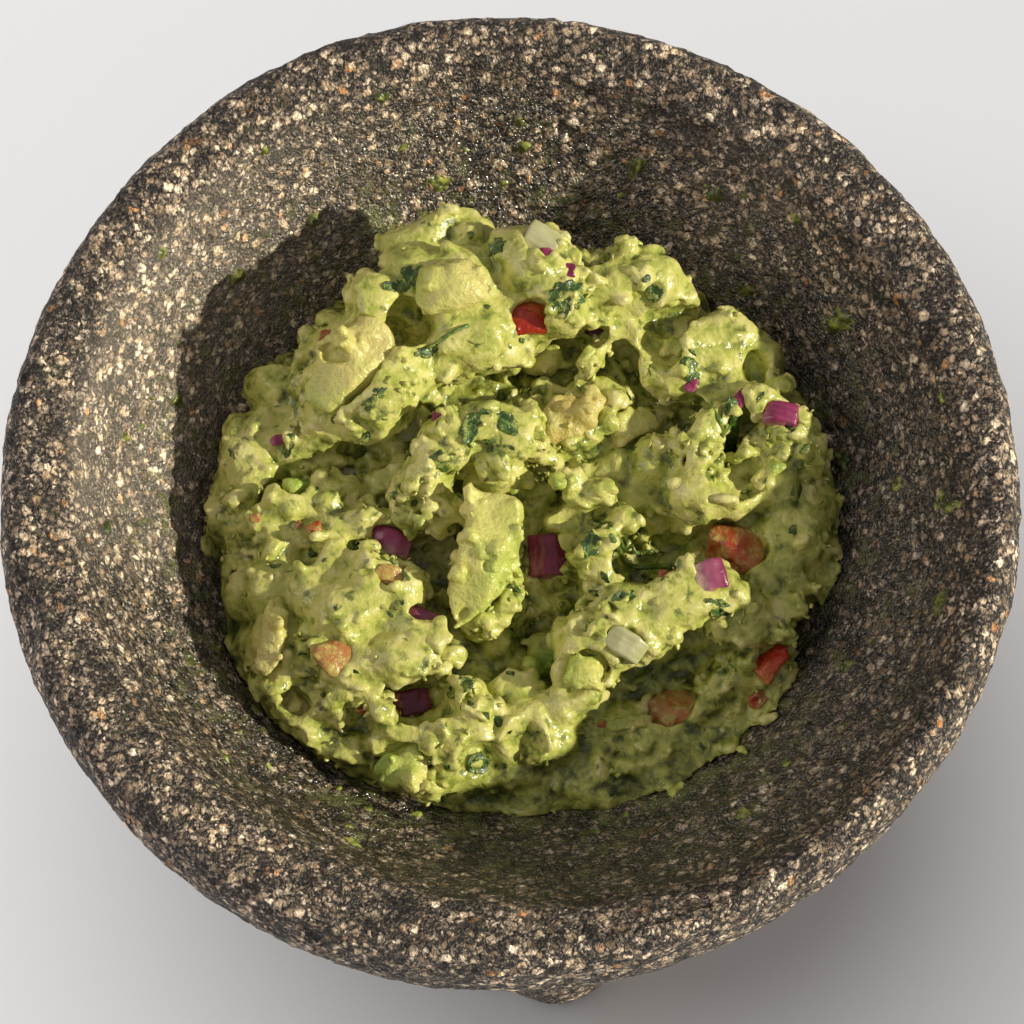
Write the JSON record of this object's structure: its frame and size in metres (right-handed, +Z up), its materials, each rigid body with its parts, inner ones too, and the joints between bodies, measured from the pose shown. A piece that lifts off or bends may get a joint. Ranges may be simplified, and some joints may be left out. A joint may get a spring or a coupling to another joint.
{
  "type": "guacamole in a stone mortar",
  "caption": "Chunky avocado dip heaped in a rough three-legged stone mortar, with pieces of avocado, tomato and onion standing out of the mash.",
  "frame": {"origin": "on the table, under the middle of the bowl, at the bottom centre of the bounding box", "axes": "+Z up through the bowl's mouth; one leg points close to -Y, the side a diner sits at; +X to the diner's right"},
  "size_m": [0.2, 0.2, 0.115],
  "materials": {
    "stone": "hand-carved volcanic stone, charcoal ground with cream and rust grains and open pores",
    "mash": "wet crushed avocado, yellow-green with dark flecks of herb",
    "avocado": "ripe cut avocado flesh, cream yellow to bright green, moist",
    "tomato": "diced tomato, wet, red skin and orange flesh",
    "red_onion": "diced red onion, purple skin side and paler cut sides, moist",
    "white_onion": "pale inner layers of onion, translucent and moist"
  },
  "bodies": {
    "root": {"avocado_far_crest": "avocado", "avocado_far_middle": "avocado", "avocado_front_right_nub": "avocado", "avocado_left_crest": "avocado", "avocado_left_nub": "avocado", "avocado_left_slab": "avocado", "avocado_long": "avocado", "avocado_middle_green": "avocado", "avocado_near_green": "avocado", "avocado_near_left_lump": "avocado", "avocado_near_left_slab": "avocado", "avocado_right_middle": "avocado", "avocado_tan_slab": "avocado", "guacamole": "mash", "molcajete": "stone", "red_onion_far": "red_onion", "red_onion_front_right": "red_onion", "red_onion_left": "red_onion", "red_onion_middle": "red_onion", "red_onion_near": "red_onion", "red_onion_near_left": "red_onion", "red_onion_right": "red_onion", "red_onion_right_rim": "red_onion", "tomato_far": "tomato", "tomato_front_right": "tomato", "tomato_left": "tomato", "tomato_left_middle": "tomato", "tomato_near_left": "tomato", "tomato_right": "tomato", "tomato_right_low": "tomato", "white_onion_far": "white_onion", "white_onion_far_left": "white_onion", "white_onion_front_right": "white_onion", "white_onion_left": "white_onion"}
  },
  "joints": []
}
